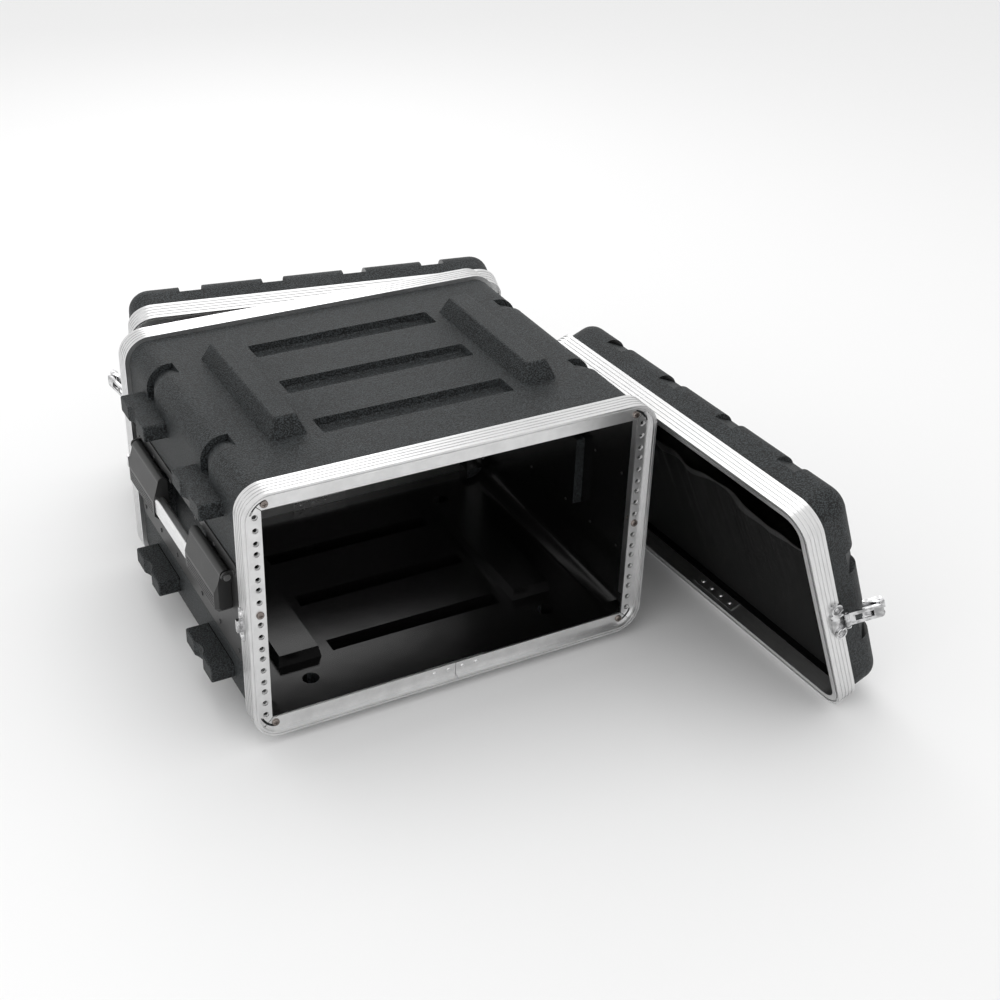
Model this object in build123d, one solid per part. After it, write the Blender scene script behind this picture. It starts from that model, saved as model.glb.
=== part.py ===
"""Moulded 19-inch equipment rack case, six units high, with two lift-off lids.

Millimetres, +Z up. The origin is on the ground, under the middle of the case. The front opening
faces -Y. The two lids lean against the case: the front lid on its right side, the rear lid behind.
"""
from build123d import *
import math
import os

# ---------------------------------------------------------------- rack standard
RACK_UNITS = 6
UNIT = 44.45                       # height of one rack unit
HOLE_OFFSETS = (6.35, 22.225, 38.1)  # hole heights inside one unit
RAIL_SPACING = 465.1               # left hole column to right hole column
OPEN_W = 450.8                     # clear width between the hole strips
PUNCHED_R = 3.5                    # clearance hole in the ring's strip
THREAD_R = 2.5                     # threaded hole in the steel rail
RAIL_T, RAIL_GAP = 2.0, 0.6        # rail's sheet, and its edge behind the strip's edge
RAIL_TRIM = 12.0                   # the rail's side leaf is shorter at each end

# ---------------------------------------------------------------- aluminium rings
RIM_RADIUS = 32.0                  # outside corner radius
RIM_BORDER_W, RIM_BORDER_H = 22.6, 22.0  # opening's edge to the ring's outside, at the sides and at top
OPEN_SPARE = 1.3                   # opening's height beyond the rack units
BAND_T = 5.3                       # thickness of the band round the shell
BAND_W = 27.0                      # depth of a case ring
LIP = 6.0                          # how far the ring stands in front of its strip
STRIP_T = 2.2                      # thickness of the strip that carries the holes
FLUTES, FLUTE_W, FLUTE_D = 4, 1.4, 0.7   # flutes round the band
BEAD, BEAD_IN, BEAD_D = 1.2, 2.2, 1.2    # bead along the lip
SEAM = 0.6                         # butt gap where the ring's two ends meet
MITRE, MITRE_L = 0.8, 15.0         # saw cut at each inner corner
CRESCENT_IN, CRESCENT_T, CRESCENT_OFF = 3.0, 1.6, 0.9  # slit that opens at each bent corner

# ---------------------------------------------------------------- moulded body
CASE_DEPTH = 420.0                 # lip to lip
WALL = 4.0
FLOOR_GAP = 17.3                   # body underside above the ground, on its ribs
PATTERN_Y = 5.0                    # middle of the stacking pattern
GROOVE_PITCH = (CASE_DEPTH - 122.4) / 3
GROOVE_W, GROOVE_L, GROOVE_D, GROOVE_SLOPE = 33.0, 234.0, 10.0, 12.0
BAR_W, BAR_H, BAR_X, BAR_SLOPE = 44.5, 22.0, 154.5, 23.0
BAR_L = 2 * GROOVE_PITCH + 20.0
BAR_SOFT, GROOVE_SOFT = 3.5, 3.0   # rounded edges of the bars and groove floors
NEST_GAP = 1.5                     # stacking clearance all round
CHANNEL_D = 14.0                   # channels under the body that take the bars below
FOOT_R, FOOT_X, FOOT_Y = 14.0, 155.0, CASE_DEPTH / 2 - 68
BUMPER_L, BUMPER_H, BUMPER_OUT = 87.0, 20.0, 27.0
BUMPER_Y = 0.22 * CASE_DEPTH       # bumper's middle, in front of and behind the body's middle
BUMPER_TOP_GAP, BUMPER_LOW_GAP = 38.7, 30.7  # body's top and underside to the bumpers
BITE_D, BITE_R = 5.5, 24.0         # hollow in a bumper's outer face
SCOOP_D, SCOOP_L, SCOOP_BACK, SCOOP_IN = 8.0, 28.0, 20.0, 32.0
BOSS_W, BOSS_L, BOSS_GAP = 26.0, 24.0, 0.35  # corner bosses; gap: above the rail's end

# ---------------------------------------------------------------- side handles
HANDLE_Y = 2.0
PLATE_T, PLATE_H, PLATE_R = 1.5, 126.0, 12.0
PLATE_L = CASE_DEPTH - 68.0
PLATE_MID = -13.0                  # plate's middle below the body's middle
RIVET_INSET, RIVET_PITCH = 12.0, 60.0
DISH_L, DISH_H, DISH_D, DISH_MID = 150.0, 83.0, 12.0, -3.5
PIVOT_UP, PIVOT_OUT = 31.0, 6.6    # handle pivot above the body's middle and outside the plate
HUB_R = 6.0
GRIP_IN, GRIP_OUT = 56.0, PLATE_L / 2 - 22.0  # grip's inner and outer ends from the handle's middle
GRIP_DROP, GRIP_THICK = 48.0, 19.5  # pivot to the grip's lower edge; plate to the grip's outer face
GRIP_BACK, GRIP_BEVEL = 0.8, 4.0   # grip clear of the plate; bevel round its end
GRIP_RIBS, RIB_W, RIB_PITCH, RIB_D, RIB_END = 4, 1.3, 4.0, 1.2, 6.0
BAR_TOP, BAR_BOTTOM = 19.0, 41.0   # steel bar below the pivot
BAR_BACK, BAR_FACE = 5.5, 18.0     # steel bar's faces outside the plate
BAR_TAIL, BAR_ROUND = 12.0, 3.5    # bar hidden in each grip; its rounded edges
PIN_R, RUN_FIT, PIN_DEPTH, PIN_CAP = 2.5, 0.05, 15.0, 1.5
LUG_T, LUG_GAP = 2.5, 2.5

# ---------------------------------------------------------------- latches and catches
LATCH_Z = -9.0                     # height of latches and catches from the ring's middle
LATCH_Y, LATCH_OUT = 26.5, 6.5     # arm pivot behind the lid's lip and outside the ring
LATCH_BASE_Y, LATCH_T = 18.0, 2.0  # middle of the riveted base behind the lip; its sheet
LATCH_RIVET, LOBE_R, LOBE_RIM = 19.0, 7.5, 1.9
EAR_IN, EAR_T, EAR_R = 10.0, 1.8, 3.6   # ears of the base, outside the arm
ARM_TILT = 26.5                    # arm's rest angle off the band
ARM_L, ARM_HALF, ARM_T = 41.0, 9.6, 1.5
LEVER_AT, LEVER_IN = 38.5, 7.0     # lever pivot along the arm, and inwards from it
LEVER_L, LEVER_T, EYE_R = 18.0, 1.4, 4.4
LATCH_PIN_R = 1.5
CATCH_Y, CATCH_RIVET, CATCH_T = 19.5, 14.5, 1.5
CATCH_W, CATCH_H, CATCH_R = 14.0, 40.0, 5.0
KEEPER_OUT, KEEPER_HALF, KEEPER_T = 7.0, 7.5, 1.6

# ---------------------------------------------------------------- lids
LID_DEPTH = 68.0
LID_BAND_W = 24.0
LID_BACK_R = 20.0
LID_LIP_T = 4.0
LID_FLANGE_T = 2.0                 # inner flange of the lid's ring
GROOVE_LIP_W, GROOVE_LIP_D = 2.4, 2.6    # groove that takes the case's lip
NOTCH_W, NOTCH_CUT, NOTCH_PITCH = 31.0, 21.0, 108.0
PANEL_RISE, PANEL_W, PANEL_H, PANEL_X = 3.0, 160.0, 170.0, 105.0
POCKET_T, POCKET_Y = 5.0, 27.0
POCKET_FOOT, POCKET_MOUTH = 11.7, 93.7  # lid's lower side to the pocket, its upper side to the mouth
POCKET_IN, POCKET_R = 10.7, 18.0   # shell's outside to the net's edge; its lower corners
HEM_W, HEM_T = 11.0, 8.0
FRONT_LEAN, FRONT_TURN = 20.7, -87.4
REAR_LEAN, REAR_TURN = 19.1, -9.1
FRONT_CLEAR, FRONT_AHEAD = 8.9, 9.5      # lid's top edge off the ring's side; its middle behind the lip
REAR_CLEAR, REAR_ASIDE = 6.4, 45.6
GROUND_GAP = 0.4                   # a leaning lid's edge above the ground

# ---------------------------------------------------------------- fasteners
SCREW_R, SCREW_HEAD_R, SCREW_HEAD_H, SCREW_L = 2.5, 4.4, 2.4, 14.0
CORNER_IN_X, CORNER_IN_Z = 26.0, 15.0    # corner screw from the ring's outside
SLOT_L, SLOT_W, SLOT_D = 4.6, 1.1, 1.3
RIVET_R, RIVET_HEAD_R, RIVET_HEAD_H = 1.6, 2.8, 1.3
SPLICE_PITCH, SPLICE_L, SPLICE_T, SPLICE_W = 18.0, 76.0, 1.5, 14.0
TAIL = 0.8                         # rivet's tail past the last sheet
PAST = 1.0                         # cutting shapes run past what they cut

# ---------------------------------------------------------------- worked out
RAIL_H = RACK_UNITS * UNIT
OPEN_H = RAIL_H + OPEN_SPARE
RIM_W = OPEN_W + 2 * RIM_BORDER_W
RIM_H = OPEN_H + 2 * RIM_BORDER_H
SHELL_W, SHELL_H, SHELL_R = RIM_W - 2 * BAND_T, RIM_H - 2 * BAND_T, RIM_RADIUS - BAND_T
MID_Z = SHELL_H / 2 + FLOOR_GAP    # height of the body's middle
FRONT = -CASE_DEPTH / 2            # front lip
STRIP_Y = FRONT + LIP              # front face of the hole strip
SHELL_FRONT = STRIP_Y + STRIP_T    # shell's front edge
SIDE = SHELL_W / 2                 # shell's side
PLATE_FACE = SIDE + PLATE_T
PIVOT_X = PLATE_FACE + PIVOT_OUT
PIVOT_Z = MID_Z + PIVOT_UP
CORNER_SCREW_X, CORNER_SCREW_Z = RIM_W / 2 - CORNER_IN_X, RIM_H / 2 - CORNER_IN_Z
BUMPER_UP = SHELL_H / 2 - BUMPER_TOP_GAP - BUMPER_H / 2
BUMPER_DOWN = -SHELL_H / 2 + BUMPER_LOW_GAP + BUMPER_H / 2
POCKET_HALF = SIDE - POCKET_IN
POCKET_LOW, POCKET_TOP = POCKET_FOOT - SHELL_H / 2, SHELL_H / 2 - POCKET_MOUTH
FRONT_AT = (RIM_W / 2 + RIM_H / 2 * math.sin(math.radians(FRONT_LEAN)) + FRONT_CLEAR, FRONT + FRONT_AHEAD)
REAR_AT = (REAR_ASIDE, -FRONT + RIM_H / 2 * math.sin(math.radians(REAR_LEAN))
           + RIM_W / 2 * math.sin(math.radians(-REAR_TURN)) + REAR_CLEAR)


def prism(profile, y0, y1):
    """Carry a flat profile (X across, Z up) from y0 to y1."""
    return extrude(Plane.XZ.offset(-y1) * profile, amount=y1 - y0)


def box(x0, x1, y0, y1, z0, z1):
    """Block between two corners, given in any order."""
    middle = Pos((x0 + x1) / 2, (y0 + y1) / 2, (z0 + z1) / 2)
    return middle * Box(abs(x1 - x0), abs(y1 - y0), abs(z1 - z0))


def rod_x(y, z, r, a, b):
    """Round bar along X from a to b."""
    return Pos((a + b) / 2, y, z) * Rot(0, 90, 0) * Cylinder(r, abs(b - a))


def rod_y(x, z, r, a, b):
    """Round bar along Y from a to b."""
    return Pos(x, (a + b) / 2, z) * Rot(90, 0, 0) * Cylinder(r, abs(b - a))


def rod_z(x, y, r, a, b):
    """Round bar along Z from a to b."""
    return Pos(x, y, (a + b) / 2) * Cylinder(r, abs(b - a))


def outline(inset=0.0):
    """The body's outline seen from the front, moved inwards by inset."""
    return RectangleRounded(SHELL_W - 2 * inset, SHELL_H - 2 * inset, SHELL_R - inset)


def ring(inset, t, y0, y1):
    """Band of thickness t that follows the outline of the aluminium rings, inset from their outside."""
    w, h, r = RIM_W - 2 * inset, RIM_H - 2 * inset, RIM_RADIUS - inset
    inner = RectangleRounded(w - 2 * t, h - 2 * t, max(r - t, 0.5))
    return prism(RectangleRounded(w, h, r) - inner, y0, y1)


def cut_all(shape, cutters):
    return shape - Compound(children=list(cutters))


def rack_heights():
    """Hole heights of one rail, from the middle of the opening."""
    return [k * UNIT + d - RAIL_H / 2 for k in range(RACK_UNITS) for d in HOLE_OFFSETS]


def mid_screw_height(side):
    """Each rail is held by the hole next to its middle: one side's above, the other's below."""
    return min((z for z in rack_heights() if z * side < 0), key=abs)


def flutes(y0, width):
    """Shallow parallel flutes round the outside of a ring."""
    step = width / (FLUTES + 1)
    middles = [y0 + step * (k + 1) for k in range(FLUTES)]
    return [ring(-PAST, PAST + FLUTE_D, y - FLUTE_W / 2, y + FLUTE_W / 2) for y in middles]


# ================================================================ body
def frustum(w, l, h, slope, x, y, z, up=1):
    """Block whose four sides lean inwards, standing on (or hanging from) height z."""
    face = Plane.XY if up > 0 else Plane(origin=(0, 0, 0), x_dir=(1, 0, 0), z_dir=(0, 0, -1))
    return Pos(x, y, z) * extrude(face * Rectangle(w, l), amount=h, taper=slope)


def scoops(extra):
    """Four ramped scoops over the top side edges: flush in front, cut to SCOOP_D at the back."""
    made = []
    for y in (BUMPER_Y, -BUMPER_Y):
        y1 = y + BUMPER_L / 2 - SCOOP_BACK
        start = Plane.XZ.offset(SCOOP_L - y1) * outline(extra)
        finish = Plane.XZ.offset(-y1 - extra) * outline(extra + SCOOP_D)
        wedge = prism(outline(-PAST), y1 - SCOOP_L, y1 + extra) - loft([start, finish])
        for side in (1, -1):
            low = BUMPER_UP + BUMPER_H / 2 - extra
            made.append(wedge & box(side * (SIDE - SCOOP_IN - extra), side * (SIDE + PAST),
                                    y1 - SCOOP_L, y1 + extra, low, SHELL_H / 2 + PAST))
    return made


def grooves(extra):
    """Three grooves across the top, between the bars."""
    made = []
    for k in (-1, 0, 1):
        cut = frustum(GROOVE_L + 2 * extra, GROOVE_W + 2 * extra, GROOVE_D + extra,
                      GROOVE_SLOPE, 0, PATTERN_Y + k * GROOVE_PITCH, SHELL_H / 2, up=-1)
        made.append(cut if extra else fillet(cut.edges().sort_by(Axis.Z)[:8], GROOVE_SOFT))
    return made


def channels(extra):
    """Two channels under the body that take the bars of the case below."""
    spare = 2 * (NEST_GAP + extra)
    return [frustum(BAR_W + spare, BAR_L + spare, CHANNEL_D + extra, BAR_SLOPE / 2,
                    side * BAR_X, PATTERN_Y, -SHELL_H / 2) for side in (1, -1)]


def dishes(extra):
    """Finger dishes behind the side handles."""
    y, z = DISH_L / 2 + extra, DISH_H / 2 + extra
    return [box(side * (SIDE - DISH_D - extra), side * (SIDE + PAST), HANDLE_Y - y, HANDLE_Y + y,
                DISH_MID - z, DISH_MID + z) for side in (1, -1)]


def stacking(inset):
    """Bars on the top, ribs and feet underneath; an inset gives the hollows inside them."""
    top, bottom = SHELL_H / 2 - inset, -SHELL_H / 2 + inset
    spare = 2 * (NEST_GAP + inset)
    made = []
    for side in (1, -1):
        bar = frustum(BAR_W - 2 * inset, BAR_L - 2 * inset, BAR_H, BAR_SLOPE, side * BAR_X, PATTERN_Y, top)
        made.append(bar if inset else fillet(bar.edges().sort_by(Axis.Z)[4:], BAR_SOFT))
        for y in (-FOOT_Y, FOOT_Y):
            made.append(rod_z(side * FOOT_X, y, FOOT_R - inset, bottom - FLOOR_GAP, bottom))
    for k in (-1, 0, 1):
        made.append(frustum(GROOVE_L - spare, GROOVE_W - spare, FLOOR_GAP, GROOVE_SLOPE / 2,
                            0, PATTERN_Y + k * GROOVE_PITCH, bottom, up=-1))
    return made


def bumper(side, y, z):
    """Guard on the side: a block with a shallow hollow in the middle of its outer face."""
    block = box(side * (SIDE - PAST), side * (SIDE + BUMPER_OUT), y - BUMPER_L / 2, y + BUMPER_L / 2,
                z - BUMPER_H / 2, z + BUMPER_H / 2)
    block = fillet(block.edges().filter_by(Axis.X), 3.0)
    outer = block.faces().sort_by(Axis.X)[-1 if side > 0 else 0]
    block = fillet(outer.edges(), 2.0)
    return block - rod_z(side * (SIDE + BUMPER_OUT - BITE_D + BITE_R), y, BITE_R, z - BUMPER_H, z + BUMPER_H)


def corner_bosses():
    """Solid corners behind the strips, for the corner screws; their holes come second."""
    back = -SHELL_FRONT
    limit = prism(outline(WALL / 2), -back, back)
    x1, z1 = SIDE - WALL / 2, SHELL_H / 2 - WALL / 2
    x0, z0 = SIDE - WALL - BOSS_W, RAIL_H / 2 + BOSS_GAP
    blocks, holes = [], []
    for sx in (1, -1):
        for sz in (1, -1):
            for end in (1, -1):
                block = box(sx * x0, sx * x1, end * back, end * (back - BOSS_L), sz * z0, sz * z1)
                blocks.append(block & limit)
                holes.append(rod_y(sx * CORNER_SCREW_X, sz * CORNER_SCREW_Z, SCREW_R,
                                   end * (back + PAST), end * (STRIP_Y + SCREW_L) * -1))
    return blocks, holes


def body_shell():
    back = -SHELL_FRONT
    outer = prism(outline(), SHELL_FRONT, back)
    inner = prism(outline(WALL), SHELL_FRONT - PAST, back + PAST)
    for boss in stacking(0):
        outer = outer + boss
    for hollow in stacking(WALL):
        inner = inner + hollow
    for dent in (grooves, channels, dishes, scoops):
        for cut in dent(0):
            outer = outer - cut
        for cut in dent(WALL):
            inner = inner - cut
    shell = outer - inner
    blocks, holes = corner_bosses()
    for block in blocks:
        shell = shell + block
    for side in (1, -1):
        for y in (-BUMPER_Y, BUMPER_Y):
            for z in (BUMPER_UP, BUMPER_DOWN):
                shell = shell + bumper(side, y, z)
        holes += [rod_x(y, z - MID_Z, RIVET_R, side * (SIDE - WALL - PAST), side * (SIDE + PAST))
                  for y, z in plate_rivets()]
    return Pos(0, 0, MID_Z) * cut_all(shell, holes)


# ================================================================ case rings and rails
def corner_slits(y0, y1):
    """Saw cut from each inner corner, and the crescent that opens where the strip was bent."""
    cuts = []
    cx, cz = RIM_W / 2 - RIM_RADIUS, RIM_H / 2 - RIM_RADIUS
    outer = RIM_RADIUS - BAND_T - CRESCENT_IN
    arc = Circle(outer) - Pos(-CRESCENT_OFF, -CRESCENT_OFF) * Circle(outer - CRESCENT_T)
    arc = prism(arc, y0, y1) & box(6, outer + PAST, y0, y1, 6, outer + PAST)
    for sx in (1, -1):
        for sz in (1, -1):
            saw = box(-sx, sx * MITRE_L, y0, y1, -MITRE / 2, MITRE / 2)
            cuts.append(Pos(sx * OPEN_W / 2, 0, sz * OPEN_H / 2) * Rot(0, -45 * sx * sz, 0) * saw)
            turn = {(1, 1): 0, (-1, 1): -90, (-1, -1): 180, (1, -1): 90}[(sx, sz)]
            cuts.append(Pos(sx * cx, 0, sz * cz) * Rot(0, turn, 0) * arc)
    return cuts


def case_ring():
    """Front ring of the case, about its own middle: band, lip and the strip with the rack holes."""
    y2 = FRONT + BAND_W
    strip = RectangleRounded(RIM_W - 1, RIM_H - 1, RIM_RADIUS - 0.5) - Rectangle(OPEN_W, OPEN_H)
    made = ring(0, BAND_T, FRONT, y2) + prism(strip, STRIP_Y, SHELL_FRONT)
    y0, y1 = STRIP_Y - PAST, SHELL_FRONT + PAST
    cuts = flutes(FRONT, BAND_W) + corner_slits(y0, y1)
    cuts.append(ring(BEAD_IN, BEAD, FRONT - PAST, FRONT + BEAD_D))
    for side in (1, -1):
        cuts += [rod_y(side * RAIL_SPACING / 2, z, PUNCHED_R, y0, y1) for z in rack_heights()]
        cuts += [rod_y(side * CORNER_SCREW_X, z * CORNER_SCREW_Z, SCREW_R, y0, y1) for z in (1, -1)]
        cuts += [rod_x(FRONT + CATCH_Y, LATCH_Z + z * CATCH_RIVET, RIVET_R,
                       side * (RIM_W / 2 - BAND_T - PAST), side * (RIM_W / 2 + PAST)) for z in (1, -1)]
    cuts += [rod_y(x, -CORNER_SCREW_Z, RIVET_R, y0, y1) for x in splice_rivets_at()]
    cuts.append(box(-SEAM / 2, SEAM / 2, FRONT - PAST, y2 + PAST, -RIM_H / 2 - PAST, -OPEN_H / 2 + PAST))
    for cut in cuts:
        made = made - cut
    return made


def splice_rivets_at():
    return [SPLICE_PITCH * (k - 1.5) for k in range(4)]


def rack_rail(side):
    """Steel angle behind the strip, with the threaded rack holes."""
    x_in, x_out = OPEN_W / 2 + RAIL_GAP, SIDE - WALL
    y0, y1 = SHELL_FRONT, SHELL_FRONT + RAIL_T
    rail = box(side * x_in, side * x_out, y0, y1, -RAIL_H / 2, RAIL_H / 2)
    leaf = RAIL_H / 2 - RAIL_TRIM
    rail = rail + box(side * (x_out - RAIL_T), side * x_out, y0, y0 + BOSS_L, -leaf, leaf)
    holes = [rod_y(side * RAIL_SPACING / 2, z, THREAD_R, y0 - PAST, y1 + PAST) for z in rack_heights()]
    return cut_all(rail, holes) & prism(outline(WALL), y0, y0 + BOSS_L)


def screw(x, z):
    """Pan-head cross screw; its head lies on the strip's front."""
    head = rod_y(x, z, SCREW_HEAD_R, STRIP_Y - SCREW_HEAD_H, STRIP_Y)
    head = fillet(head.edges().sort_by(Axis.Y)[0], 1.6)
    shank = rod_y(x, z, SCREW_R, STRIP_Y - 0.5, STRIP_Y + SCREW_L)
    slot = Box(SLOT_L, 2 * SLOT_D, SLOT_W) + Box(SLOT_W, 2 * SLOT_D, SLOT_L)
    slot = Pos(x, STRIP_Y - SCREW_HEAD_H, z) * slot
    return head + shank - slot


def dome():
    """Low rivet head standing on Z = 0."""
    head = Pos(0, 0, RIVET_HEAD_H / 2) * Cylinder(RIVET_HEAD_R, RIVET_HEAD_H)
    return fillet(head.edges().sort_by(Axis.Z)[-1], 1.0)


def rivet_x(side, y, z, x_inner, x_outer):
    """Rivet along X, its head outside."""
    return (rod_x(y, z, RIVET_R, side * x_inner, side * x_outer)
            + Pos(side * x_outer, y, z) * Rot(0, 90 * side, 0) * dome())


def front_parts():
    """Everything on the front ring, about the body's middle; the rear is its mirror image."""
    back = SHELL_FRONT + SPLICE_T
    splice = box(-SPLICE_L / 2, SPLICE_L / 2, SHELL_FRONT, back, -OPEN_H / 2 - 0.4, -SHELL_H / 2 + WALL + 0.3)
    splice = cut_all(splice, [rod_y(x, -CORNER_SCREW_Z, RIVET_R, SHELL_FRONT - PAST, back + PAST)
                              for x in splice_rivets_at()])
    rivets = [rod_y(x, -CORNER_SCREW_Z, RIVET_R, STRIP_Y, back + TAIL)
              + Pos(x, STRIP_Y, -CORNER_SCREW_Z) * Rot(90, 0, 0) * dome() for x in splice_rivets_at()]
    screws = [screw(sx * CORNER_SCREW_X, sz * CORNER_SCREW_Z) for sx in (1, -1) for sz in (1, -1)]
    screws += [screw(sx * RAIL_SPACING / 2, mid_screw_height(sx)) for sx in (1, -1)]
    return {"valance": case_ring(), "rack_rail_left": rack_rail(-1), "rack_rail_right": rack_rail(1),
            "splice_plates": [splice], "splice_rivets": rivets, "screws": screws}


def catch(side):
    """Keeper on the case ring: a plate with a bent tab whose rolled edge the lever's nose pulls on."""
    face, top = RIM_W / 2, RIM_W / 2 + KEEPER_OUT
    y = FRONT + CATCH_Y
    plate = box(side * face, side * (face + CATCH_T), y - CATCH_W / 2, y + CATCH_W / 2,
                LATCH_Z - CATCH_H / 2, LATCH_Z + CATCH_H / 2)
    made = fillet(plate.edges().filter_by(Axis.X), CATCH_R)
    z0, z1 = LATCH_Z - KEEPER_HALF, LATCH_Z + KEEPER_HALF
    root, y0, y2 = face + CATCH_T - 0.2, y - 3, y + 2
    made = made + box(side * root, side * top, y0, y0 + KEEPER_T, z0, z1)
    made = made + box(side * (top - KEEPER_T), side * top, y0, y2, z0, z1)
    for z in (z0, z1 - KEEPER_T):
        made = made + box(side * root, side * top, y0, y2, z, z + KEEPER_T)
    return cut_all(made, [rod_x(y, LATCH_Z + z * CATCH_RIVET, RIVET_R, side * (face - PAST),
                                side * (top + PAST)) for z in (1, -1)])


def catch_rivets(side):
    return [rivet_x(side, FRONT + CATCH_Y, LATCH_Z + z * CATCH_RIVET, RIM_W / 2 - BAND_T, RIM_W / 2 + CATCH_T)
            for z in (1, -1)]


# ================================================================ side handle (right; the left is mirrored)
def plate_rivets():
    """Places of the handle plate's rivets: three to each quarter."""
    return [(HANDLE_Y + y * (PLATE_L / 2 - RIVET_INSET - RIVET_PITCH * k),
             MID_Z + PLATE_MID + z * (PLATE_H / 2 - RIVET_INSET))
            for k in range(3) for y in (1, -1) for z in (1, -1)]


def handle_plate():
    plate = extrude(Plane.YZ * RectangleRounded(PLATE_L, PLATE_H, PLATE_R), amount=PLATE_T)
    plate = Pos(SIDE, HANDLE_Y, MID_Z + PLATE_MID) * plate
    z = MID_Z + DISH_MID
    plate = plate - box(SIDE - PAST, PLATE_FACE + PAST, HANDLE_Y - DISH_L / 2, HANDLE_Y + DISH_L / 2,
                        z - DISH_H / 2, z + DISH_H / 2)
    for end in (1, -1):
        y0, y1 = HANDLE_Y + end * (GRIP_OUT + LUG_GAP), HANDLE_Y + end * (GRIP_OUT + LUG_GAP + LUG_T)
        lug = box(PLATE_FACE - 0.3, PIVOT_X, y0, y1, PIVOT_Z - HUB_R, PIVOT_Z + HUB_R)
        lug = lug + rod_y(PIVOT_X, PIVOT_Z, HUB_R, y0, y1)
        plate = plate + lug - rod_y(PIVOT_X, PIVOT_Z, PIN_R, y0 - end * PAST, y1 + end * PAST)
    return cut_all(plate, [rod_x(y, z, RIVET_R, SIDE - PAST, PLATE_FACE + PAST) for y, z in plate_rivets()])


def handle_rivets():
    return [rivet_x(1, y, z, SIDE - WALL - TAIL, PLATE_FACE) for y, z in plate_rivets()]


def handle_pins():
    made = []
    for end in (1, -1):
        inner, outer = GRIP_OUT - PIN_DEPTH, GRIP_OUT + LUG_GAP + LUG_T
        made.append(rod_y(PIVOT_X, PIVOT_Z, PIN_R, HANDLE_Y + end * inner, HANDLE_Y + end * outer)
                    + rod_y(PIVOT_X, PIVOT_Z, PIN_R + PIN_CAP, HANDLE_Y + end * outer,
                            HANDLE_Y + end * (outer + PIN_CAP)))
    return made


def grip(end):
    """Black moulded arm of the handle: round hub above, ribbed finger grip below."""
    low = PIVOT_Z - GRIP_DROP
    inner, outer = PLATE_FACE + GRIP_BACK, PLATE_FACE + GRIP_THICK
    side = Polyline((inner, PIVOT_Z), (inner, low + 0.5), (outer - 4.5, low), (outer, low + 5),
                    (outer, PIVOT_Z - 23), (PIVOT_X + 4.8, PIVOT_Z + 3.6), (inner, PIVOT_Z))
    y0, y1 = sorted((HANDLE_Y + end * GRIP_IN, HANDLE_Y + end * GRIP_OUT))
    arm = prism(make_face(side), y0, y1)
    tip = arm.faces().sort_by(Axis.Y)[-1 if end > 0 else 0]
    arm = chamfer([e for e in tip.edges() if e.center().X > outer - 3 or e.center().Z < low + 3], GRIP_BEVEL)
    arm = arm + rod_y(PIVOT_X, PIVOT_Z, HUB_R, y0, y1)
    ribs = [box(outer - RIB_D, outer + PAST, y0 + RIB_END, y1 - RIB_END, z, z + RIB_W)
            for z in (low + 6.5 + RIB_PITCH * k for k in range(GRIP_RIBS))]
    bore = rod_y(PIVOT_X, PIVOT_Z, PIN_R + RUN_FIT, HANDLE_Y + end * (GRIP_OUT - PIN_DEPTH - 1),
                 HANDLE_Y + end * (GRIP_OUT + PAST))
    return cut_all(arm, ribs) - bore - handle_bar()


def handle_bar():
    half = GRIP_IN + BAR_TAIL
    bar = box(PLATE_FACE + BAR_BACK, PLATE_FACE + BAR_FACE, HANDLE_Y - half, HANDLE_Y + half,
              PIVOT_Z - BAR_BOTTOM, PIVOT_Z - BAR_TOP)
    return fillet(bar.edges().filter_by(Axis.Y), BAR_ROUND)


# ================================================================ lids (own frame: lip at y = 0, back at +y)
def lid_notches(extra):
    """Bites round the lid's back edge: a slanted cut across the corner at each place."""
    cut = NOTCH_CUT + extra * math.sqrt(2)
    wide = NOTCH_W + 2 * extra
    far = LID_DEPTH + PAST
    made = []
    for side in (1, -1):
        z, x = side * (SHELL_H / 2 + PAST), side * (SIDE + PAST)
        for k in (-1.5, -0.5, 0.5, 1.5):
            corner = Polyline((far, z), (far, z - side * (cut + PAST)), (far - cut - PAST, z), (far, z))
            start = Plane.YZ.offset(k * NOTCH_PITCH - wide / 2)
            made.append(extrude(start * make_face(corner), amount=wide, dir=(1, 0, 0)))
        for k in (-0.5, 0.5):
            corner = Polyline((x, far), (x - side * (cut + PAST), far), (x, far - cut - PAST), (x, far))
            start = Plane.XY.offset(k * NOTCH_PITCH - wide / 2)
            made.append(extrude(start * make_face(corner), amount=wide, dir=(0, 0, 1)))
    return made


def lid_shell():
    outer = prism(outline(), LID_LIP_T, LID_DEPTH)
    outer = fillet(outer.faces().sort_by(Axis.Y)[-1].edges(), LID_BACK_R)
    inner = prism(outline(WALL), LID_LIP_T - PAST, LID_DEPTH - WALL)
    inner = fillet(inner.faces().sort_by(Axis.Y)[-1].edges(), LID_BACK_R - WALL)
    for bite in lid_notches(0):
        outer = outer - bite
    for bite in lid_notches(WALL):
        inner = inner - bite
    shell = outer - inner
    for x in (-PANEL_X, PANEL_X):
        panel = box(x - PANEL_W / 2, x + PANEL_W / 2, LID_DEPTH - 0.5, LID_DEPTH + PANEL_RISE,
                    -PANEL_H / 2, PANEL_H / 2)
        shell = shell + chamfer(panel.faces().sort_by(Axis.Y)[-1].edges(), PANEL_RISE)
    return shell


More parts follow.
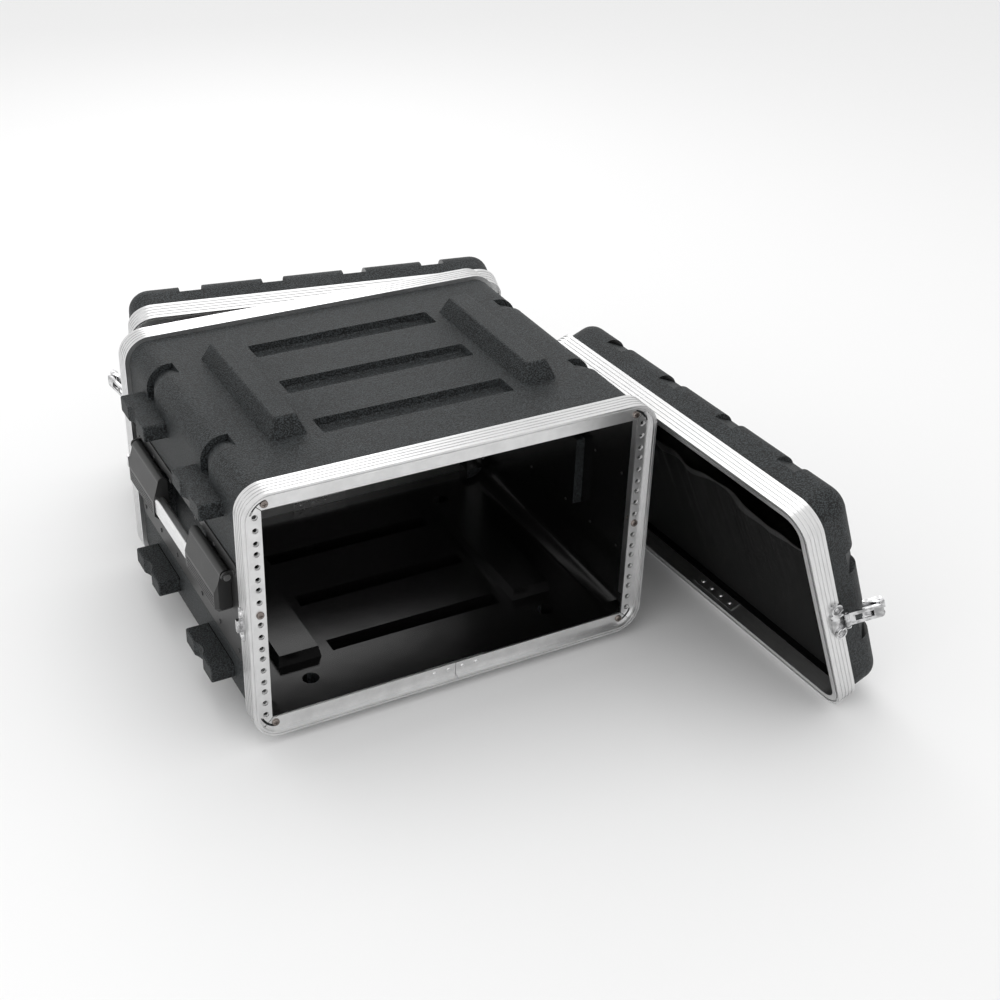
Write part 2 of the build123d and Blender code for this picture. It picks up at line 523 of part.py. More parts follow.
def lid_ring():
    """U-shaped ring that holds the lid shell's edge, with the groove for the case's lip."""
    flange_in = BAND_T + WALL
    made = ring(0, BAND_T, 0, LID_BAND_W)
    made = made + ring(0.5, flange_in + LID_FLANGE_T - 0.5, 0, LID_LIP_T)
    made = made + ring(flange_in, LID_FLANGE_T, 0, LID_BAND_W - 4)
    for cut in flutes(0, LID_BAND_W):
        made = made - cut
    made = made - ring(BEAD_IN, GROOVE_LIP_W, -PAST, GROOVE_LIP_D)
    low = -SHELL_H / 2 + WALL
    holes = [rod_z(x, LID_LIP_T + 8, RIVET_R, low - PAST, low + LID_FLANGE_T + PAST)
             for x in splice_rivets_at()]
    for side in (1, -1):
        holes += [rod_x(LATCH_BASE_Y, LATCH_Z + z * LATCH_RIVET, RIVET_R,
                        side * (RIM_W / 2 - BAND_T - PAST), side * (RIM_W / 2 + PAST)) for z in (1, -1)]
    made = cut_all(made, holes)
    return made - box(-SEAM / 2, SEAM / 2, -PAST, LID_BAND_W + PAST, -RIM_H / 2 - PAST,
                      low + LID_FLANGE_T + PAST)


def lid_splice():
    """Joining plate on the inside of the ring, across its seam."""
    top, y = -SHELL_H / 2 + WALL + LID_FLANGE_T, LID_LIP_T + 8
    plate = box(-SPLICE_L / 2, SPLICE_L / 2, y - SPLICE_W / 2, y + SPLICE_W / 2, top, top + SPLICE_T)
    return cut_all(plate, [rod_z(x, y, RIVET_R, top - PAST, top + SPLICE_T + PAST)
                           for x in splice_rivets_at()])


def lid_splice_rivets():
    top, y = -SHELL_H / 2 + WALL + LID_FLANGE_T, LID_LIP_T + 8
    return [Pos(x, y, top + SPLICE_T) * dome() + rod_z(x, y, RIVET_R, top - LID_FLANGE_T, top + SPLICE_T)
            for x in splice_rivets_at()]


def lid_pocket():
    """Net pocket: a thin cushion of cloth across the lid, open along its top hem."""
    net = box(-POCKET_HALF, POCKET_HALF, POCKET_Y - POCKET_T / 2, POCKET_Y + POCKET_T / 2,
              POCKET_LOW, POCKET_TOP)
    return fillet(net.edges().filter_by(Axis.Y).sort_by(Axis.Z)[:2], POCKET_R)


def pocket_hem():
    band = box(-POCKET_HALF, POCKET_HALF, POCKET_Y - HEM_T / 2, POCKET_Y + HEM_T / 2,
               POCKET_TOP + 0.3, POCKET_TOP + HEM_W)
    return fillet(band.edges().filter_by(Axis.X), 2.4)


# ---------------------------------------------------------------- draw latch, on the lid's +X end
def latch_base():
    """Lobed base: a raised rim round each rivet, and two ears for the arm's pin."""
    face, y = RIM_W / 2, LATCH_BASE_Y
    foot, raised = face + LATCH_T, face + 2 * LATCH_T
    base = box(face, foot, y - 9.5, y + 9.5, -13, 13)
    base = base + box(foot - 0.2, raised, y - 9.5, y - 7.5, -9, 9)
    for side in (1, -1):
        z = side * LATCH_RIVET
        rim = rod_x(y, z, LOBE_R, face, raised) - rod_x(y, z, LOBE_R - LOBE_RIM, face, raised + PAST)
        z0, z1 = side * EAR_IN, side * (EAR_IN + EAR_T)
        ear = box(face + 0.5, face + LATCH_OUT, y, LATCH_Y + EAR_R, z0, z1)
        base = base + rod_x(y, z, LOBE_R, face, foot) + rim + ear
        base = base + rod_z(face + LATCH_OUT, LATCH_Y, EAR_R, z0, z1)
    for z in (LATCH_RIVET, -LATCH_RIVET):
        base = base - rod_x(y, z, RIVET_R, face - PAST, raised + PAST)
    return Pos(0, 0, LATCH_Z) * (base - rod_z(face + LATCH_OUT, LATCH_Y, LATCH_PIN_R, -14, 14))


def latch_rivets():
    return [rivet_x(1, LATCH_BASE_Y, LATCH_Z + z * LATCH_RIVET, RIM_W / 2 - BAND_T, RIM_W / 2 + LATCH_T)
            for z in (1, -1)]


def latch_pin():
    end = EAR_IN + EAR_T + TAIL
    return rod_z(RIM_W / 2 + LATCH_OUT, LATCH_Y, LATCH_PIN_R, LATCH_Z - end, LATCH_Z + end)


def at_arm(shape):
    """Put a piece drawn along +Y from the arm's pivot onto the latch, tilted to its rest angle."""
    return Pos(RIM_W / 2 + LATCH_OUT, LATCH_Y, LATCH_Z) * Rot(0, 0, -ARM_TILT) * shape


def latch_arm():
    """Arm drawn along +Y: a rolled hub on the pin, a slotted plate, and eyes that hold the lever."""
    skin = ARM_T / 2
    plate = box(-skin, skin, 0, ARM_L, -ARM_HALF, ARM_HALF)
    plate = fillet(plate.edges().filter_by(Axis.X).sort_by(Axis.Y)[-2:], 4.0)
    plate = plate - box(-2, 2, 9, 30, -4.5, 4.5) + box(-skin, skin, 17, 19, -5, 5)
    arm = plate + Cylinder(2.8, 2 * ARM_HALF)
    for side in (1, -1):
        z0, z1 = side * (ARM_HALF - ARM_T), side * ARM_HALF
        cheek = box(-LEVER_IN, skin, LEVER_AT - EYE_R, ARM_L - 4, z0, z1)
        eye = rod_z(-LEVER_IN, LEVER_AT, EYE_R - LEVER_T - 0.4, z0, z1)
        arm = arm + cheek + eye + box(-2.4, skin, 6, LEVER_AT, z0, z1)
    arm = arm - rod_z(0, 0, LATCH_PIN_R + RUN_FIT, -14, 14)
    return at_arm(arm - rod_z(-LEVER_IN, LEVER_AT, LATCH_PIN_R, -14, 14))


def lever_pin():
    end = ARM_HALF + 0.5 + LEVER_T + 0.5
    return at_arm(rod_z(-LEVER_IN, LEVER_AT, LATCH_PIN_R, -end, end))


def latch_lever():
    """Thumb lever on the arm's end: two wedge cheeks outside the arm, a finger plate and a nose."""
    back, far = -LEVER_IN - EYE_R, ARM_HALF + 0.5 + LEVER_T
    lever = box(back, back + LEVER_T, LEVER_AT - LEVER_L, LEVER_AT + 2, -far, far)
    lever = lever + box(back, back + 2.6, LEVER_AT + 1, LEVER_AT + 6, -6, 6)
    wedge = make_face(Polyline((back, LEVER_AT), (back, LEVER_AT - LEVER_L), (back + 3, LEVER_AT - LEVER_L),
                               (-LEVER_IN + EYE_R - 0.6, LEVER_AT - 2), (-LEVER_IN, LEVER_AT),
                               (back, LEVER_AT)))
    for z0 in (far - LEVER_T, -far):
        cheek = extrude(Plane.XY.offset(z0) * wedge, amount=LEVER_T, dir=(0, 0, 1))
        lever = lever + cheek + rod_z(-LEVER_IN, LEVER_AT, EYE_R, z0, z0 + LEVER_T)
    return at_arm(lever - rod_z(-LEVER_IN, LEVER_AT, LATCH_PIN_R + RUN_FIT, -14, 14))


# ================================================================ placing
def lid_place(at, lean, turn):
    """A lid stands on the lower edge of its ring and leans towards its open side."""
    z = RIM_H / 2 * math.cos(math.radians(lean)) + GROUND_GAP
    return Pos(at[0], at[1], z) * Rot(0, 0, turn) * Rot(lean, 0, 0)


def listed(shapes):
    return list(shapes) if isinstance(shapes, (list, tuple)) else [shapes]


def group(shapes):
    solids = [solid for shape in listed(shapes) for solid in shape.solids()]
    return solids[0] if len(solids) == 1 else Compound(children=solids)


def moved(place, shapes):
    return group([place * shape for shape in listed(shapes)])


def mirrored(shapes, plane):
    return [mirror(shape, about=plane) for shape in listed(shapes)]


def both(shapes, plane=Plane.YZ):
    return listed(shapes) + mirrored(shapes, plane)


def case_nodes():
    nodes = {"body_shell": body_shell()}
    lift = Pos(0, 0, MID_Z)
    front = front_parts()
    for name in ("valance", "rack_rail_left", "rack_rail_right"):
        nodes[f"front_{name}"] = moved(lift, front[name])
        nodes[f"rear_{name}"] = moved(lift, mirrored(front[name], Plane.XZ))
    for name in ("splice_plates", "splice_rivets", "screws"):
        nodes[f"valance_{name}"] = moved(lift, both(front[name], Plane.XZ))
    nodes["catches"] = moved(lift, both([catch(1), catch(-1)], Plane.XZ))
    nodes["catch_rivets"] = moved(lift, both(catch_rivets(1) + catch_rivets(-1), Plane.XZ))
    for name, shapes in (("plate", handle_plate()), ("grips", [grip(1), grip(-1)]), ("bar", handle_bar())):
        nodes[f"right_handle_{name}"] = group(shapes)
        nodes[f"left_handle_{name}"] = group(mirrored(shapes, Plane.YZ))
    nodes["handle_rivets"] = group(both(handle_rivets()))
    nodes["handle_pins"] = group(both(handle_pins()))
    return nodes


def lid_nodes():
    alike = {"shell": lid_shell(), "valance": lid_ring(), "splice_plate": lid_splice(),
             "splice_rivets": lid_splice_rivets(), "latch_pins": both(latch_pin()),
             "latch_rivets": both(latch_rivets())}
    for name, shape in (("base", latch_base()), ("arm", latch_arm()), ("lever", latch_lever()),
                        ("lever_pin", lever_pin())):
        alike[f"right_latch_{name}"] = shape
        alike[f"left_latch_{name}"] = mirrored(shape, Plane.YZ)
    front = lid_place(FRONT_AT, FRONT_LEAN, FRONT_TURN)
    rear = lid_place(REAR_AT, REAR_LEAN, REAR_TURN)
    nodes = {}
    for name, shapes in alike.items():
        nodes[f"front_lid_{name}"] = moved(front, shapes)
        nodes[f"rear_lid_{name}"] = moved(rear, shapes)
    nodes["front_lid_net_pocket"] = moved(front, lid_pocket())
    nodes["front_lid_pocket_hem"] = moved(front, pocket_hem())
    return nodes


os.makedirs("parts", exist_ok=True)
for node, shape in {**case_nodes(), **lid_nodes()}.items():
    export_step(shape, f"parts/{node}.step")
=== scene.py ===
"""Looks for a moulded 19-inch rack case: finishes for every part, the lid's net pocket, stage and camera."""
import math

import bpy
import numpy as np
from bpy.props import FloatProperty, FloatVectorProperty, PointerProperty
from mathutils import Matrix, Vector


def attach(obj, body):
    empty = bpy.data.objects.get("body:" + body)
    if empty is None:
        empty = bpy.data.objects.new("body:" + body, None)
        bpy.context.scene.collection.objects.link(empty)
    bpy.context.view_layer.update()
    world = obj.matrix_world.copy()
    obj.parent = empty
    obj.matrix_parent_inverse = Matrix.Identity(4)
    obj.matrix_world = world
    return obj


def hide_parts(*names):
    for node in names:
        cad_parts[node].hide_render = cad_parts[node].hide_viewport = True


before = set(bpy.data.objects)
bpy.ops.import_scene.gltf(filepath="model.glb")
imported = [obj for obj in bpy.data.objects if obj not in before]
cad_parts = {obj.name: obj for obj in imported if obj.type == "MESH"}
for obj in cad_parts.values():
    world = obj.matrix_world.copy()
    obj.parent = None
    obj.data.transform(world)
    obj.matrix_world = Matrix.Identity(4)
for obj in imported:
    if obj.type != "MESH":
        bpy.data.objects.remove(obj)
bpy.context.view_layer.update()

bl_info = {
    "name": "Rack Case Finisher",
    "version": (1, 0, 0),
    "blender": (4, 5, 0),
    "location": "3D View > Sidebar > Rack Case",
    "description": "Adds finishes, the net pocket and a studio stage to a moulded rack case",
    "category": "Object",
}

MM = 0.001

# The lids' resting places: a point on the ring's middle, the turn about Z, then the lean about the long side.
LIDS = {"front_lid": (Vector((0.312, -0.2005, 0.14633)), -87.4, 20.7),
        "rear_lid": (Vector((0.0456, 0.3066, 0.14781)), -9.1, 19.1)}
CASE_HALF = (0.2427, 1.0, 0.1507)      # half width and height of the moulded body
CASE_MIDDLE = Vector((0.0, 0.0, 0.168))
LID_HALF = (0.2427, 0.048, 0.1507)
LID_MIDDLE = (0.0, 0.020, 0.0)


# ---------------------------------------------------------------- shader arithmetic
class Val:
    """A shader socket that is added, scaled and compared like a number; each step is one Math node."""

    def __init__(self, graph, socket):
        self.graph, self.socket = graph, socket

    def _do(self, op, *inputs):
        return self.graph.node("ShaderNodeMath", {"operation": op}, dict(enumerate(inputs)))

    def __add__(self, o): return self._do("ADD", self, o)
    def __radd__(self, o): return self._do("ADD", o, self)
    def __sub__(self, o): return self._do("SUBTRACT", self, o)
    def __rsub__(self, o): return self._do("SUBTRACT", o, self)
    def __mul__(self, o): return self._do("MULTIPLY", self, o)
    def __rmul__(self, o): return self._do("MULTIPLY", o, self)
    def __truediv__(self, o): return self._do("DIVIDE", self, o)
    def __pow__(self, o): return self._do("POWER", self, o)
    def __gt__(self, o): return self._do("GREATER_THAN", self, o)
    def __abs__(self): return self._do("ABSOLUTE", self)
    def sin(self): return self._do("SINE", self)
    def pingpong(self, o): return self._do("PINGPONG", self, o)

    def ramp(self, low, high, to_low=0.0, to_high=1.0):
        """Smooth step from to_low to to_high as the value goes from low to high."""
        return self.graph.node("ShaderNodeMapRange", {"interpolation_type": "SMOOTHSTEP"},
                               {0: self, 1: low, 2: high, 3: to_low, 4: to_high})


class Graph:
    """One material's node tree, built by calls that return sockets."""

    def __init__(self, name):
        self.material = bpy.data.materials.new(name)
        self.material.use_nodes = True
        self.tree = self.material.node_tree
        self.tree.nodes.clear()

    def node(self, kind, settings=None, inputs=None, out=0):
        """Any node: its type, its settings by name, its inputs by name or number, and the output wanted."""
        made = self.tree.nodes.new(kind)
        for key, value in (settings or {}).items():
            setattr(made, key, value)
        for key, value in (inputs or {}).items():
            if isinstance(value, Val):
                self.tree.links.new(value.socket, made.inputs[key])
            else:
                made.inputs[key].default_value = value
        return Val(self, made.outputs[out])

    def place(self):
        """Object coordinates, in metres."""
        return self.node("ShaderNodeTexCoord", out="Object")

    def facing(self):
        """The surface's own direction, in the object's coordinates."""
        return self.node("ShaderNodeTexCoord", out="Normal")

    def uv(self):
        return self.node("ShaderNodeTexCoord", out="UV")

    def vec(self, op, a, b=(0.0, 0.0, 0.0), scale=1.0, out=0):
        return self.node("ShaderNodeVectorMath", {"operation": op}, {0: a, 1: b, 3: scale}, out)

    def dot(self, a, b):
        return self.vec("DOT_PRODUCT", a, b, out="Value")

    def parts(self, vector):
        split = self.tree.nodes.new("ShaderNodeSeparateXYZ")
        self.tree.links.new(vector.socket, split.inputs[0])
        return [Val(self, s) for s in split.outputs]

    def join(self, x, y, z):
        return self.node("ShaderNodeCombineXYZ", None, {0: x, 1: y, 2: z})

    def noise(self, where, scale, detail=3.0, rough=0.5):
        return self.node("ShaderNodeTexNoise", None,
                         {"Vector": where, "Scale": scale, "Detail": detail, "Roughness": rough})

    def cells(self, where, scale, feature="F1"):
        return self.node("ShaderNodeTexVoronoi", {"feature": feature},
                         {"Vector": where, "Scale": scale}, out="Distance")

    def mix(self, factor, a, b):
        """Colour a where factor is 0 and colour b where it is 1."""
        return self.node("ShaderNodeMix", {"data_type": "RGBA"}, {0: factor, 6: a, 7: b}, out=2)

    def bump(self, height, distance, under=None):
        """Surface direction bent by a height in metres; it can lie over another bump."""
        inputs = {"Height": height, "Distance": distance, "Strength": 1.0}
        if under is not None:
            inputs["Normal"] = under
        return self.node("ShaderNodeBump", None, inputs, out="Normal")

    def finish(self, **sockets):
        """Principled surface; constants are set on the sockets and everything else is linked."""
        surface = self.node("ShaderNodeBsdfPrincipled", None,
                            {name.replace("_", " "): value for name, value in sockets.items()})
        output = self.tree.nodes.new("ShaderNodeOutputMaterial")
        self.tree.links.new(surface.socket, output.inputs["Surface"])
        return self.material


def rgb(grey, tint=(1.0, 1.0, 1.0)):
    return tuple(grey * t for t in tint) + (1.0,)


def lid_rotation(lid):
    """Turn about Z after the lean about X."""
    _, turn, lean = LIDS[lid]
    return Matrix.Rotation(math.radians(turn), 3, "Z") @ Matrix.Rotation(math.radians(lean), 3, "X")


def own_frame(graph, where, facing, lid):
    """Coordinates and surface direction in the part's own frame: the case's middle or a lid's ring."""
    if lid is None:
        return graph.vec("SUBTRACT", where, tuple(CASE_MIDDLE)), facing
    middle, turned = LIDS[lid][0], lid_rotation(lid)
    off = graph.vec("SUBTRACT", where, tuple(middle))
    columns = [tuple(turned.col[i]) for i in range(3)]
    return (graph.join(*[graph.dot(off, c) for c in columns]),
            graph.join(*[graph.dot(facing, c) for c in columns]))


def outside_mask(graph, local, facing, half, middle=(0.0, 0.0, 0.0)):
    """1 on the moulding's outside and 0 inside: the sign of facing . (X^3, Y^3, Z^3), X = x / half width."""
    scaled = graph.vec("DIVIDE", graph.vec("SUBTRACT", local, middle), half)
    x, y, z = graph.parts(scaled)
    if half[1] >= 1.0:
        y = 0.0 * y
    cubed = graph.join(x * x * x, y * y * y, z * z * z)
    outward = graph.dot(facing, cubed) > -0.02
    beyond = abs(x) > 1.004
    return (outward + beyond) > 0.5


# ---------------------------------------------------------------- finishes
def moulded(settings, name, lid=None):
    """Black ABS moulding: pebble grain outside, its tops coloured lighter as painted highlights; smooth and
    glossy inside.
    """
    g = Graph(name)
    where, facing = g.place(), g.facing()
    local, turned = own_frame(g, where, facing, lid)
    outside = outside_mask(g, local, turned, CASE_HALF if lid is None else LID_HALF,
                           (0.0, 0.0, 0.0) if lid is None else LID_MIDDLE)
    drift = g.vec("SCALE", g.node("ShaderNodeTexNoise", None, {"Vector": where, "Scale": 260.0}, out="Color"),
                  scale=0.0012)
    bent = g.vec("ADD", where, drift)
    pebble = g.cells(bent, 1.0 / (settings.grain_size * MM), "SMOOTH_F1")
    fine = g.noise(where, 1400.0, 2.0)
    tops = (1.0 - pebble).ramp(0.25, 0.85)
    patchy = g.noise(where, 22.0, 4.0)
    rubbed = g.noise(where, 5.0, 2.0).ramp(0.40, 0.70)
    height = (tops * 0.8 + fine * 0.35) * outside
    swirl = g.noise(where, 9.0, 3.0)
    normal = g.bump(height, settings.grain_depth * MM,
                    under=g.bump(swirl, 0.0006))
    grey = settings.grey
    # Painted highlight: the pebble tops and fine grain are coloured up to 25 times lighter than the hollows,
    # standing in for light caught on the grain; patchy adds random tone.
    low = rgb(grey * 0.2, (0.86, 1.0, 1.08))
    high = rgb(grey * 5.0, (0.86, 1.0, 1.06))
    grain_and_painted_highlights = g.mix((tops * 0.5 + fine * 0.5 + patchy * 0.1).ramp(0.42, 0.95), low, high)
    inside = g.mix(patchy, rgb(grey * 0.2), rgb(grey * 0.4))
    colour = g.mix(outside, inside, grain_and_painted_highlights)
    smooth = settings.inside_roughness
    rough = outside * (0.50 + 0.10 * tops + 0.06 * rubbed - smooth) + smooth
    return g.finish(Base_Color=colour, Roughness=rough + 0.04 * swirl, Normal=normal, Specular_IOR_Level=0.34)


def satin_metal(settings, name, grey, roughness, brushed=(1.0, 1.0, 1.0), tint=(1.0, 1.0, 1.0), lid=None):
    """Drawn or brushed metal: fine streaks along the draw, faint blotches and handling marks."""
    g = Graph(name)
    where = g.place()
    local, _ = own_frame(g, where, g.facing(), lid)
    streak = g.noise(g.vec("MULTIPLY", local, brushed), 900.0, 4.0, 0.6)
    blotch = g.noise(where, 14.0, 3.0)
    specks = g.cells(where, 220.0).ramp(0.0, 0.12, 1.0, 0.0)
    scuffs = (g.noise(g.vec("MULTIPLY", local, (1.0, 7.0, 1.0)), 60.0, 5.0, 0.7)).ramp(0.60, 0.72)
    colour = g.mix(streak.ramp(0.25, 0.75), rgb(grey * 0.90, tint), rgb(min(grey * 1.04, 1.0), tint))
    colour = g.mix(specks * 0.15 + scuffs * 0.10, colour, rgb(grey * 0.70, tint))
    rough = roughness + 0.10 * (blotch - 0.5) + 0.08 * scuffs + settings.wear_and_sheen * 0.10 * specks
    normal = g.bump(streak, 0.00002)
    return g.finish(Base_Color=colour, Metallic=1.0, Roughness=rough, Normal=normal)


def bright_plate(settings, name):
    """Nickel-bright pressed steel, with soft press ripples, a painted reflection that lightens and darkens the
    colour along them, and a few fingerprints.
    """
    g = Graph(name)
    where = g.place()
    ripple = g.noise(where, 120.0, 2.0)
    prints = g.noise(where, 30.0, 4.0).ramp(0.50, 0.75)
    # Painted reflection: the colour swings between 0.34 and 0.72 with the press ripples, standing in for the
    # light and dark they reflect.
    colour = g.mix(ripple.ramp(0.35, 0.65), rgb(0.34, (1.0, 1.0, 1.01)), rgb(0.72, (1.0, 1.0, 1.01)))
    return g.finish(Base_Color=colour, Metallic=1.0, Roughness=0.10 + 0.15 * prints,
                    Normal=g.bump(ripple, 0.00025))


def powder_coat(settings, name):
    """Black powder coat on sheet steel: fine orange-peel, a faint satin sheen, and lighter patches that are
    partly wear and partly painted sheen.
    """
    g = Graph(name)
    where = g.place()
    peel = g.noise(where, 850.0, 3.0)
    wear_and_sheen = g.noise(where, 18.0, 4.0).ramp(0.55, 0.78)
    # Partly wear, partly painted sheen: the patches are coloured lighter where the coat is glossier.
    colour = g.mix(wear_and_sheen, rgb(0.016), rgb(0.030))
    return g.finish(Base_Color=colour, Roughness=0.36 + 0.12 * peel + 0.08 * wear_and_sheen,
                    Normal=g.bump(peel, 0.00012), Coat_Weight=0.15 * wear_and_sheen)


def grip_plastic(settings, name):
    """Semi-gloss black handle plastic with a light grain."""
    g = Graph(name)
    where = g.place()
    fine = g.noise(where, 1500.0, 2.0)
    broad = g.noise(where, 40.0, 3.0)
    colour = g.mix(broad, rgb(0.010), rgb(0.018))
    return g.finish(Base_Color=colour, Roughness=0.30 + 0.12 * broad + 0.06 * fine,
                    Normal=g.bump(fine, 0.00006))


def net_cloth(settings, name):
    """Knitted net: round holes in staggered rows, threads raised between them."""
    g = Graph(name)
    u, v, _ = g.parts(g.uv())
    pitch = settings.net_pitch * MM
    row = v / pitch
    across = (u / pitch + g.node("ShaderNodeMath", {"operation": "FLOOR"}, {0: row}) * 0.5)
    cu = across.pingpong(0.5) - 0.25
    cv = row.pingpong(0.5) - 0.25
    reach = (cu * cu + cv * cv) ** 0.5
    thread = reach.ramp(0.10, 0.16)
    fuzz = g.noise(g.uv(), 2500.0, 2.0)
    colour = g.mix(fuzz, rgb(0.003), rgb(0.010))
    alpha = thread * 0.75 + 0.22
    return g.finish(Base_Color=colour, Roughness=0.62 + 0.2 * fuzz, Alpha=alpha,
                    Normal=g.bump(thread + 0.3 * fuzz, 0.0002), Specular_IOR_Level=0.22)


def woven_band(settings, name):
    """Woven elastic: ribs along the band with painted highlights on their crests, crossed by fine gathers."""
    g = Graph(name)
    u, v, _ = g.parts(g.uv())
    rib = (v * 5200.0).sin() * 0.5 + 0.5
    gather = (u * 1500.0).sin() * 0.5 + 0.5
    fuzz = g.noise(g.uv(), 1800.0, 3.0)
    # Painted highlight: the rib crests are coloured lighter, standing in for light caught on the ribs; the
    # fuzz adds random tone.
    colour = g.mix(rib * 0.6 + fuzz * 0.4, rgb(0.006), rgb(0.022))
    return g.finish(Base_Color=colour, Roughness=0.60 + 0.15 * fuzz,
                    Normal=g.bump(rib * 0.6 + gather * 0.6 + fuzz * 0.3, 0.0004))


def floor_paper(name, grey):
    """Matt studio paper with a barely visible tooth."""
    g = Graph(name)
    tooth = g.noise(g.place(), 700.0, 2.0)
    return g.finish(Base_Color=g.mix(tooth, rgb(grey * 0.99), rgb(grey)), Roughness=0.9,
                    Specular_IOR_Level=0.1)


# ---------------------------------------------------------------- surfaces
def sheet_surface(name, points, uv, material, thickness=0.0):
    """Grid of points (rows by columns by 3) as a smooth sheet, with a UV in metres."""
    rows, cols, _ = points.shape
    mesh = bpy.data.meshes.new(name)
    r, c = np.meshgrid(np.arange(rows - 1), np.arange(cols - 1), indexing="ij")
    first = (r * cols + c).ravel()
    faces = np.stack([first, first + 1, first + cols + 1, first + cols], axis=1)
    mesh.from_pydata(points.reshape(-1, 3).tolist(), [], faces.tolist())
    layer = mesh.uv_layers.new(name="cloth")
    loops = np.empty(len(mesh.loops), dtype=np.int32)
    mesh.loops.foreach_get("vertex_index", loops)
    layer.data.foreach_set("uv", uv.reshape(-1, 2)[loops].astype(np.float32).ravel())
    mesh.polygons.foreach_set("use_smooth", [True] * len(mesh.polygons))
    mesh.materials.append(material)
    made = bpy.data.objects.new(name, mesh)
    bpy.context.scene.collection.objects.link(made)
    if thickness:
        solid = made.modifiers.new("thickness", "SOLIDIFY")
        solid.thickness, solid.offset = thickness, 0.0
    return made


def on_lid(lid, local):
    """Points in a lid's own frame, moved to where the lid rests."""
    middle, turned = np.array(LIDS[lid][0]), np.array(lid_rotation(lid))
    return local @ turned.T + middle


def waves(t, terms):
    """Sum of a sin(2 pi f t + p) over the (a, f, p) terms."""
    return sum(a * np.sin(2 * np.pi * (f * t + p)) for a, f, p in terms)


def hem_line(s, x):
    """The hem's height and its depth in the lid, both in metres, at x along the lid."""
    t = x / (2 * s.pocket_half * MM) + 0.5
    sag = waves(t, ((0.0022, 2.1, 0.10), (0.0016, 4.3, 0.55), (0.0010, 7.2, 0.25)))
    droop = -0.007 * np.clip((t - 0.62) / 0.38, 0, 1) ** 1.3
    depth = waves(t, ((0.0022, 3.1, 0.30), (0.0014, 5.7, 0.80), (0.0008, 9.4, 0.15)))
    return s.hem_height * MM + sag + droop, s.pocket_depth * MM + depth


def net_pocket(s):
    """Net sheet: rows run from the lid's lower edge up to the hem line, and the depth eases from the flat
    lower edge to the hem's own wave, y = d + (h(x) - d) q^1.6, q being 0 at the bottom and 1 at the hem."""
    half = s.pocket_half * MM
    x = np.linspace(-half, half, 220)
    q = np.linspace(0.0, 1.0, 90)
    top, depth = hem_line(s, x)
    low = s.pocket_low * MM
    qq, xx = np.meshgrid(q, x, indexing="ij")
    z = low + (top[None, :] - low) * qq
    d = s.pocket_depth * MM
    belly = 0.0016 * np.sin(np.pi * qq) * (1 + 0.6 * np.sin(2 * np.pi * (1.7 * xx / half + 0.2)))
    folds = 0.0009 * np.sin(2 * np.pi * (9.0 * xx / half + 1.2 * qq)) * qq ** 2
    y = d + (depth[None, :] - d) * qq ** 1.6 - belly + folds
    local = np.stack([xx, y, z], axis=-1)
    uv = np.stack([xx, z], axis=-1)
    return on_lid("front_lid", local), uv


def hem_band(s):
    """Elastic band along the hem line: a flat ribbon whose section leans in and out as it follows the wave."""
    half = s.pocket_half * MM
    x = np.linspace(-half, half, 420)
    w = np.linspace(-0.5, 0.5, 9)
    top, depth = hem_line(s, x)
    ww, xx = np.meshgrid(w, x, indexing="ij")
    wide = s.hem_width * MM
    z = top[None, :] + ww * wide
    lean = waves(xx / (2 * half), ((0.30, 3.1, 0.55), (0.22, 6.3, 0.10)))
    gathers = 0.0003 * np.sin(2 * np.pi * xx / 0.0045) * np.cos(np.pi * ww)
    y = depth[None, :] + lean * ww * wide - 0.0009 + gathers
    local = np.stack([xx, y, z], axis=-1)
    return on_lid("front_lid", local), np.stack([xx, ww * wide], axis=-1)


# ---------------------------------------------------------------- settings
class RackCaseLook(bpy.types.PropertyGroup):
    grey: FloatProperty(name="Moulding grey", description="Base reflectance of the black moulding",
                        default=0.0125, min=0.001, max=0.2)
    grain_size: FloatProperty(name="Grain size", description="Width of one pebble, in millimetres",
                              default=1.5, min=0.3, max=6.0)
    grain_depth: FloatProperty(name="Grain depth", description="Height of the pebble grain, in millimetres",
                               default=0.60, min=0.0, max=2.0)
    inside_roughness: FloatProperty(name="Inside roughness", description="Roughness of the smooth inside",
                                    default=0.18, min=0.0, max=1.0, subtype="FACTOR")
    wear_and_sheen: FloatProperty(name="Wear", description="How far handling has dulled the metal",
                        default=0.5, min=0.0, max=1.0, subtype="FACTOR")
    rim_grey: FloatProperty(name="Rim grey", description="Reflectance of the aluminium rings",
                            default=0.74, min=0.2, max=1.0)


class RackCasePocket(bpy.types.PropertyGroup):
    pocket_half: FloatProperty(name="Half width", description="Half the pocket's width, in millimetres",
                               default=232.0)
    pocket_low: FloatProperty(name="Lower edge",
                              description="Lower edge from the lid's middle, in millimetres",
                              default=-139.0)
    pocket_depth: FloatProperty(name="Depth", description="Net's depth behind the lid's lip, in millimetres",
                                default=26.5)
    hem_height: FloatProperty(name="Hem height", description="Hem above the lid's middle, in millimetres",
                              default=62.0)
    hem_width: FloatProperty(name="Hem width", description="Width of the elastic, in millimetres", default=8.0)
    net_pitch: FloatProperty(name="Net pitch", description="Distance between the net's holes, in millimetres",
                             default=1.9, min=0.5)


